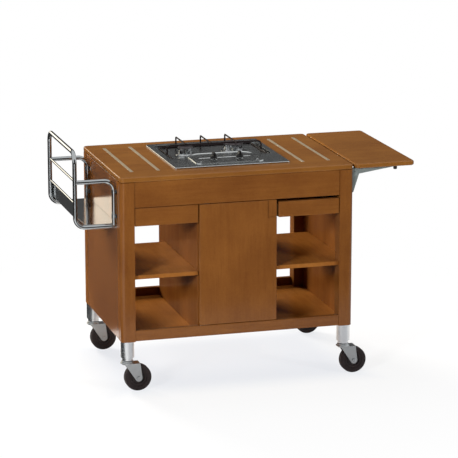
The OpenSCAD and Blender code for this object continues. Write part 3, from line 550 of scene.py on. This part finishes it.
# %% Burners and caps
CAP_RISE = 6
PORT_STEP = 15
PORT_FROM, PORT_TO = 5.6, 9.4
caps = []
for side in ("left", "right"):
    low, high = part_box("burner_" + side)
    centre = Vector(((low.x + high.x) / 2, (low.y + high.y) / 2, well_z))
    foot = (high.x - low.x) / 2 / MM
    top = (high.z - well_z) / MM
    neck, crown, depth = 0.55 * foot, 0.78 * foot, (well_z - low.z) / MM
    body = turned([(neck - 4, -depth), (neck - 4, -3), (neck, -3), (neck, 0), (foot - 0.8, 0), (foot, 0.8),
                   (foot, 2.0), (foot - 0.8, 2.9), (foot - 2.2, 3.0), (foot - 3.0, 2.2), (crown + 2.5, 2.2),
                   (crown + 1.6, 3.4), (crown - 0.6, 4.4), (crown - 1.4, 5.4), (crown - 3.2, 5.8),
                   (crown - 3.4, top - 9), (crown - 1.6, top - 7.4), (crown, top - 6.6), (crown, top - 0.6),
                   (crown - 0.6, top), (crown - 4.4, top), (crown - 5, top - 0.6), (crown - 5, top - 12),
                   (3, top - 12)], centre)
    port_z = centre.z + (top - 3.4) * MM
    def is_port(face):
        out = face.center - centre
        turn = math.degrees(math.atan2(out.y, out.x)) % PORT_STEP
        on_wall = abs(face.center.z - port_z) < 0.0012 and out.xy.length > (crown - 1) * MM
        return on_wall and PORT_FROM < turn < PORT_TO
    mark(body, "FACE", is_port)
    bpy.ops.mesh.inset(thickness=0.0002, use_individual=True)
    bpy.ops.mesh.inset(thickness=0.0001, depth=-0.0035, use_individual=True)
    leave()
    settle(body, "burner_%s_piece" % side, "burner_alloy", "burner_" + side)
    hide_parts("burner_" + side)
    caps.append(turned([(crown - 5.4, top - 3), (crown - 5.4, top + 0.05), (crown + 0.3, top + 0.05),
                        (crown + 1, top + 0.7), (crown + 1, top + 2.1), (crown - 0.4, top + 3.6),
                        (crown - 3.5, top + 4.8), (crown - 9, top + 5.6), (crown - 15, top + CAP_RISE),
                        (2, top + CAP_RISE)], centre))
    print("burner", side, "foot radius", round(foot, 1), "faces", len(body.data.polygons))
take(*caps)
bpy.ops.object.join()
settle(bpy.context.object, "burner_caps_piece", "cap_enamel", "burner_caps")
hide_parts("burner_caps")

# %% [markdown]
# ## Screws
# A round-headed screw with a crossed slot is modelled at the origin in two sizes and copied to the strips and the
# hob. Its slot is made by squeezing every other corner of the inner face towards the middle and pressing that face
# down. The hob's two screws are set by the height of the field's lip, so they stand 0.7 mm clear of its floor: a
# fault that was left.

# %% One screw
def screw(radius, rise):
    clear()
    bpy.ops.mesh.primitive_cylinder_add(vertices=24, radius=radius, depth=2 * rise, location=(0, 0, 0))
    piece = bpy.context.object
    mark(piece, "FACE", lambda face: face.normal.z > 0.9)
    for inset, lift in ((0.22, 0.35), (0.20, 0.10)):
        bpy.ops.mesh.inset(thickness=radius * inset)
        bpy.ops.transform.translate(value=(0, 0, rise * lift))
    leave()
    top = max(corner.co.z for corner in piece.data.vertices)
    def between_arms(corner):
        turn = math.degrees(math.atan2(corner.co.y, corner.co.x)) % 90
        return corner.co.z > top - 1e-6 and 20 < turn < 70
    mark(piece, "VERT", between_arms)
    bpy.ops.transform.resize(value=(0.42, 0.42, 1), center_override=(0, 0, top))
    mark(piece, "FACE", lambda face: face.center.z > top - 1e-6 and face.normal.z > 0.99
         and face.center.xy.length < radius * 0.05)
    bpy.ops.mesh.extrude_region_move(TRANSFORM_OT_translate={"value": (0, 0, -rise * 0.9)})
    bpy.ops.transform.resize(value=(0.7, 0.7, 1), center_override=(0, 0, top - rise))
    leave()
    return piece


def scatter(master, name, finish_name, node, places):
    """Upright copies of a piece, each with its own mesh, joined into one piece."""
    made = []
    for place in places:
        copy = bpy.data.objects.new(name, master.data.copy())
        copy.location = place
        copy.rotation_euler = UP.to_track_quat("Z", "Y").to_euler()
        bpy.context.scene.collection.objects.link(copy)
        made.append(copy)
    take(*made)
    bpy.ops.object.transform_apply(location=True, rotation=True)
    bpy.ops.object.join()
    settle(bpy.context.object, name, finish_name, node)

small_screw = screw(0.0026, 0.0007)
large_screw = screw(0.0042, 0.0013)

# %% Screws in the inlaid strips and the hob
STRIP_END = 0.009
strip_low, strip_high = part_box("worktop_strips")
strip_y = [strip_low.y + STRIP_END, strip_high.y - STRIP_END]
strip_x = [middle.x - 0.376, middle.x - 0.276, middle.x + 0.276, middle.x + 0.376]
scatter(small_screw, "strip_screws", "screw_steel", "worktop_strips",
        [(x, y, strip_high.z) for x in strip_x for y in strip_y])
scatter(large_screw, "hob_screws", "screw_steel", "hob_plate",
        [(hob_middle.x + x, hob_middle.y - 0.160, field_z) for x in (-0.105, 0.111)])
for used in (small_screw, large_screw):
    bpy.data.objects.remove(used)

# %% [markdown]
# ## Floor, cards, light and air
# The cart stands on a white floor. Seen by the camera, most of the floor's brightness is its own, with a pale shade
# painted under the cart as in the photograph, and only a small share is the lamps' light and shadow. Far from the
# cart it is plain white. The background is white for the camera and for reflections, while the light that the air
# gives is weaker. Polished things need something dark to mirror, so grey cards stand where the photographer's
# would, seen in reflections only.

# %% Floor
SHADE_X, SHADE_Y = 0.42, 0.27
SHADE_COLOUR = (0.86, 0.885, 0.93)
LAMP_SHARE = 0.16
clear()
bpy.ops.mesh.primitive_plane_add(size=60, location=(0, 0, 0))
floor = bpy.context.object
floor.name = "studio_floor"
f = new_finish("floor_white")
path = f.add("ShaderNodeLightPath", out="Is Camera Ray")
from_cart = f.add("ShaderNodeVectorMath", {"operation": "LENGTH"}, {0: f.place()}, out="Value")
plain = f.add("ShaderNodeBsdfDiffuse", {}, {"Color": (0.86, 0.86, 0.87)})
beside = f.add("ShaderNodeSeparateXYZ", {}, {0: f.place(shift=(-middle.x, 0, 0))}, out="X")
before = f.add("ShaderNodeSeparateXYZ", {}, {0: f.place()}, out="Y")
outside = (abs(beside) - SHADE_X).larger(abs(before) - SHADE_Y)
shade = f.mix(outside.step(-0.05, 0.16), SHADE_COLOUR, (1, 1, 1))
near = f.add("ShaderNodeMixShader", {}, {0: LAMP_SHARE, 1: f.emission(shade), 2: plain})
both = f.add("ShaderNodeMixShader", {}, {0: from_cart.step(0.7, 1.7), 1: near, 2: f.emission((1, 1, 1))})
seen = f.add("ShaderNodeMixShader", {}, {0: path, 1: plain, 2: both})
floor.data.materials.append(f.surface(seen))

# %% Grey cards for reflections
def card(name, grey, place, size, turn=(0, 0, 0)):
    clear()
    bpy.ops.mesh.primitive_plane_add(size=1, location=place, rotation=turn)
    made = bpy.context.object
    made.name = name
    made.scale = (size[0], size[1], 1)
    f = new_finish(name)
    made.data.materials.append(f.surface(f.emission((grey, grey, grey))))
    made.visible_camera = False
    made.visible_diffuse = False
    made.visible_shadow = False
    made.visible_transmission = False

UPRIGHT = (math.radians(90), 0, 0)
card("back_card", 0.08, (0, 3.9, 2.2), (12, 4.4), UPRIGHT)
card("front_card", 0.06, (0, -10.5, 3.5), (16, 7.0), UPRIGHT)
card("front_floor_card", 0.06, (1.9, -3.9, 0.004), (5.1, 5.2))
card("far_floor_card", 0.06, (-3.6, -3.4, 0.004), (2.6, 6.2))
card("left_floor_card", 0.06, (-2.6, 1.65, 0.004), (3.8, 4.5))
card("back_floor_card", 0.06, (1.9, 2.2, 0.004), (5.2, 3.4))

# %% [markdown]
# Five lamps light the cart: a key lamp at the front left, a weaker one at the front right, a wide one overhead, and
# two behind the cart at the left, where the pale edges in the photograph suggest a strong light. Of those two the
# back lamp lights the open bays and isn't mirrored. The weak glint lamp is the only lamp that polished pieces
# mirror, and it gives the cream patch on the side panel above the tray.

# %% Lamps
CART_MIDDLE = Vector((0, 0, 0.5))


def lamp(name, place, size, watts, mirrored=False, colour=(1, 1, 1)):
    data = bpy.data.lights.new(name, "AREA")
    data.size = size
    data.energy = watts
    data.color = colour
    made = bpy.data.objects.new(name, data)
    made.location = place
    made.rotation_euler = (CART_MIDDLE - Vector(place)).to_track_quat("-Z", "Y").to_euler()
    made.visible_glossy = mirrored
    made.visible_camera = False
    bpy.context.scene.collection.objects.link(made)

lamp("key_lamp", (-4.2, -4.0, 2.5), 1.1, 270)
lamp("side_lamp", (3.4, -4.2, 2.6), 0.9, 120)
lamp("back_lamp", (-1.25, 3.25, 1.6), 1.3, 255, colour=(1, 0.95, 0.86))
lamp("glint_lamp", (-1.45, 3.2, 1.5), 1.2, 13, mirrored=True, colour=(1, 0.90, 0.72))
lamp("top_lamp", (0.3, 0.6, 4.6), 3.0, 105)

# %% World
AIR_LIGHT = 0.06
world = bpy.data.worlds.new("studio_air")
bpy.context.scene.world = world
air = Finish(world)
camera_ray, glossy_ray, clear_ray = [air.add("ShaderNodeLightPath", out="Is %s Ray" % kind)
                                     for kind in ("Camera", "Glossy", "Transmission")]
soft, white = [air.add("ShaderNodeBackground", {}, {"Color": (1, 1, 1), "Strength": strength})
               for strength in (AIR_LIGHT, 1.0)]
direct = camera_ray.larger(glossy_ray).larger(clear_ray)
air.add("ShaderNodeOutputWorld", {},
        {"Surface": air.add("ShaderNodeMixShader", {}, {0: direct, 1: soft, 2: white})})
print("air gives", AIR_LIGHT)
